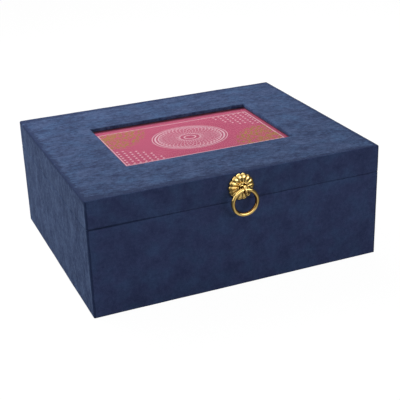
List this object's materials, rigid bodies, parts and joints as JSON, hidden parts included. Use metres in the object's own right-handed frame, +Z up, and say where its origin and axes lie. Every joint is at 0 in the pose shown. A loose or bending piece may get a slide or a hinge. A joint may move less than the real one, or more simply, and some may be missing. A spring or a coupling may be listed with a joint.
{
  "type": "keepsake box",
  "caption": "Rectangular keepsake box wrapped in navy faux suede, with a hinged lid, a photo window let into its top and a brass ring pull on the front.",
  "frame": {"origin": "centre of the box's underside, on the plane that it stands on", "axes": "+X to the right seen from the front, +Y from the front (pull side) to the back (hinge side), +Z up"},
  "size_m": [0.25, 0.2211, 0.0983],
  "materials": {
    "fibreboard": "raw medium-density fibreboard",
    "navy_suede": "brushed faux suede, navy",
    "navy_lining": "smooth flocked lining, dark navy",
    "dark_felt": "dense felt",
    "clear_acrylic": "clear, polished",
    "printed_card": "printed card, rose with gold ornament",
    "backing_fibreboard": "hardboard",
    "hinge_brass": "brass plate, satin",
    "polished_brass": "polished gold-coloured brass plate"
  },
  "bodies": {
    "tray": {"base_front_board": "fibreboard", "base_back_board": "fibreboard", "base_left_board": "fibreboard", "base_right_board": "fibreboard", "base_floor_board": "fibreboard", "base_suede_wrap": "navy_suede", "base_lining_front": "navy_lining", "base_lining_back": "navy_lining", "base_lining_left": "navy_lining", "base_lining_right": "navy_lining", "base_floor_pad": "navy_lining", "bottom_felt": "dark_felt", "hinge_base_leaf_left": "hinge_brass", "hinge_base_leaf_right": "hinge_brass", "hinge_pins": "hinge_brass", "base_hinge_screws": "hinge_brass"},
    "lid": {"lid_top_panel": "fibreboard", "lid_front_board": "fibreboard", "lid_back_board": "fibreboard", "lid_left_board": "fibreboard", "lid_right_board": "fibreboard", "lid_suede_wrap": "navy_suede", "photo_rebate_frame": "fibreboard", "lid_ceiling_lining": "navy_lining", "lid_lining_front": "navy_lining", "lid_lining_back": "navy_lining", "lid_lining_left": "navy_lining", "lid_lining_right": "navy_lining", "window_pane": "clear_acrylic", "photo_card": "printed_card", "backing_board": "backing_fibreboard", "turn_button_screws": "hinge_brass", "hinge_lid_leaf_left": "hinge_brass", "hinge_lid_leaf_right": "hinge_brass", "lid_hinge_screws": "hinge_brass", "pull_rosette": "polished_brass", "pull_post": "polished_brass", "pull_washer": "polished_brass", "pull_nut": "polished_brass"},
    "pull_ring": {"pull_ring": "polished_brass"},
    "turn_button_front": {"turn_button_front": "hinge_brass"},
    "turn_button_back": {"turn_button_back": "hinge_brass"},
    "turn_button_left": {"turn_button_left": "hinge_brass"},
    "turn_button_right": {"turn_button_right": "hinge_brass"}
  },
  "joints": [
    {"name": "lid_hinge", "type": "hinge", "parent": "tray", "child": "lid", "pos_m": [0, 0.1043, 0.07515], "axis": [-1, 0, 0], "range_deg": [0, 95]},
    {"name": "ring_swing", "type": "hinge", "parent": "lid", "child": "pull_ring", "pos_m": [0, -0.11, 0.0866], "axis": [-1, 0, 0], "range_deg": [-17.5, 210]},
    {"name": "turn_button_front_swivel", "type": "hinge", "parent": "lid", "child": "turn_button_front", "pos_m": [0, -0.0566, 0.0907], "axis": [0, 0, 1], "continuous": true},
    {"name": "turn_button_back_swivel", "type": "hinge", "parent": "lid", "child": "turn_button_back", "pos_m": [0, 0.0566, 0.0907], "axis": [0, 0, 1], "continuous": true},
    {"name": "turn_button_left_swivel", "type": "hinge", "parent": "lid", "child": "turn_button_left", "pos_m": [-0.082, 0, 0.0907], "axis": [0, 0, 1], "continuous": true},
    {"name": "turn_button_right_swivel", "type": "hinge", "parent": "lid", "child": "turn_button_right", "pos_m": [0.082, 0, 0.0907], "axis": [0, 0, 1], "continuous": true}
  ]
}
